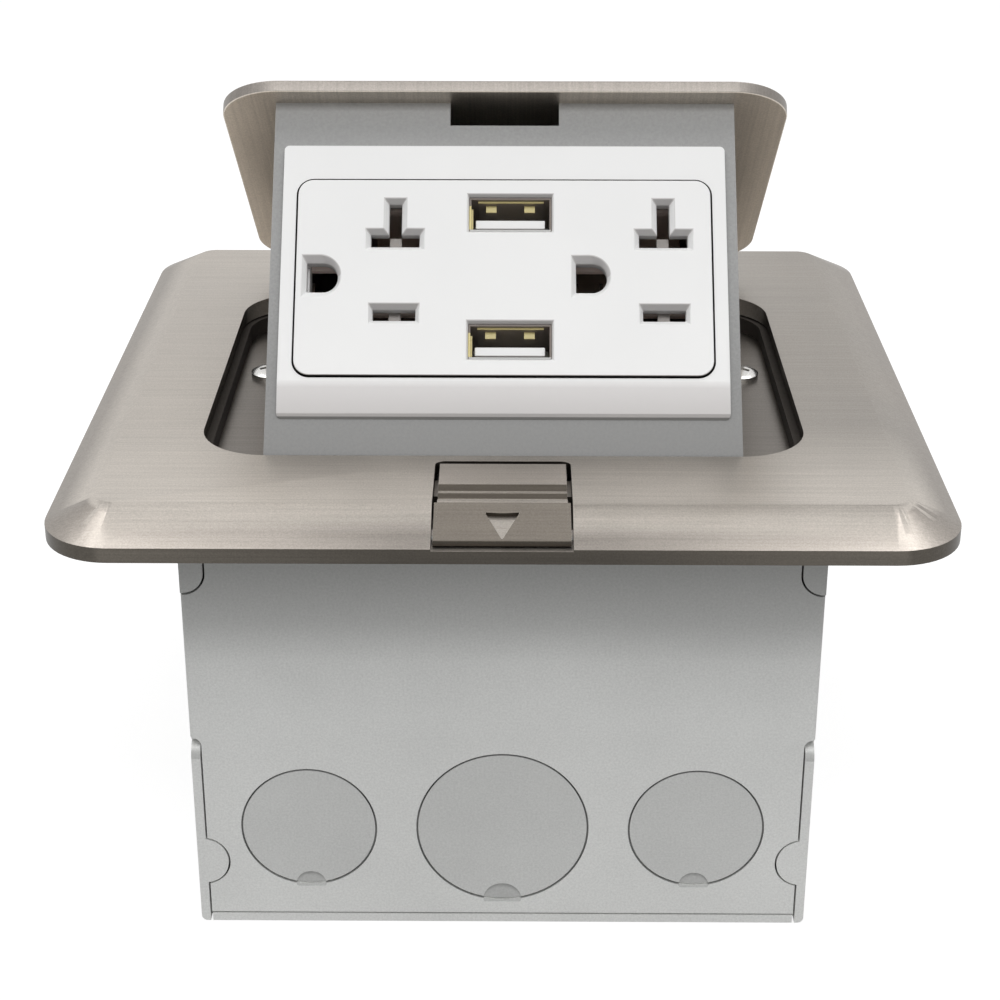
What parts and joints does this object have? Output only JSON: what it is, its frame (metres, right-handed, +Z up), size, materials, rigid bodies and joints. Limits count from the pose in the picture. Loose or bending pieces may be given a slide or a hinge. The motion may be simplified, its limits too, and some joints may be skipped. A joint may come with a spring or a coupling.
{
  "type": "floor socket box",
  "caption": "Pop-up floor socket box: bevelled metal cover plate over a steel floor box, with a sprung lid that lifts a duplex receptacle with charging ports.",
  "frame": {"origin": "centre of the footprint, on the underside of the floor box", "axes": "+Z up out of the floor, -Y towards the latch and the receptacle's face, +X to the right when facing the receptacle"},
  "size_m": [0.138, 0.138, 0.1327],
  "materials": {
    "brushed_nickel": "satin brushed, warm grey",
    "galvanised_sheet": "zinc coated sheet",
    "grey_coating": "fine textured grey paint",
    "white_plastic": "semi-gloss white",
    "dark_plastic": "dark brown housing",
    "clear_plastic": "milky shutter plastic",
    "black_foam": "foam strip",
    "plated_screw": "bright nickel plate",
    "spring_steel": "bright wire and strip",
    "contact_brass": "gilt brass",
    "green_screw": "green passivated",
    "circuit_board": "green glass laminate",
    "black_component": "moulded component"
  },
  "bodies": {
    "floor_box": {"cover_plate": "brushed_nickel", "hinge_frame": "galvanised_sheet", "lid_gasket": "black_foam", "box_wrap": "galvanised_sheet", "box_base": "galvanised_sheet", "ear_bracket_left": "galvanised_sheet", "ear_bracket_right": "galvanised_sheet", "ground_screw": "green_screw", "cover_screws": "plated_screw", "hinge_shaft": "plated_screw", "retaining_clips": "spring_steel", "torsion_springs": "spring_steel", "latch_guides": "dark_plastic", "latch_springs": "spring_steel"},
    "latch": {"latch_button": "brushed_nickel", "latch_leaf": "spring_steel", "leaf_rivets": "plated_screw"},
    "pop_up_module": {"lid": "brushed_nickel", "lid_nuts": "plated_screw", "module_cage": "grey_coating", "device_bezel": "white_plastic", "receptacle_face": "white_plastic", "receptacle_body": "dark_plastic", "housing_screws": "plated_screw", "device_yoke": "galvanised_sheet", "yoke_screws": "plated_screw", "shutter_retainer": "dark_plastic", "neutral_contacts": "contact_brass", "hot_contacts": "contact_brass", "ground_contacts": "contact_brass", "neutral_terminal_screws": "plated_screw", "hot_terminal_screws": "contact_brass", "usb_shells": "plated_screw", "usb_tongues": "white_plastic", "usb_contacts": "contact_brass", "usb_springs": "contact_brass", "charger_board": "circuit_board", "board_components": "black_component", "shutter_spring_left": "spring_steel", "shutter_spring_right": "spring_steel"},
    "left_shutter": {"safety_shutter_left": "clear_plastic"},
    "right_shutter": {"safety_shutter_right": "clear_plastic"}
  },
  "joints": [
    {"name": "pop_up", "type": "hinge", "parent": "floor_box", "child": "pop_up_module", "pos_m": [0, 0.045, 0.0572], "axis": [1, 0, 0], "range_deg": [0, 40], "stiffness_Nm_per_rad": 0.3, "springref_deg": -57.3, "deforming": ["torsion_springs", "latch_leaf"]},
    {"name": "latch_slide", "type": "slide", "parent": "floor_box", "child": "latch", "axis": [0, -1, 0], "range_m": [0, 0.0025], "stiffness_N_per_m": 400, "springref_m": -0.002, "deforming": ["latch_springs"]},
    {"name": "left_shutter_slide", "type": "slide", "parent": "pop_up_module", "child": "left_shutter", "axis": [0, -0.6428, -0.766], "range_m": [0, 0.0024], "stiffness_N_per_m": 60, "springref_m": -0.001, "deforming": ["shutter_spring_left"]},
    {"name": "right_shutter_slide", "type": "slide", "parent": "pop_up_module", "child": "right_shutter", "axis": [0, -0.6428, -0.766], "range_m": [0, 0.0024], "stiffness_N_per_m": 60, "springref_m": -0.001, "deforming": ["shutter_spring_right"]}
  ]
}
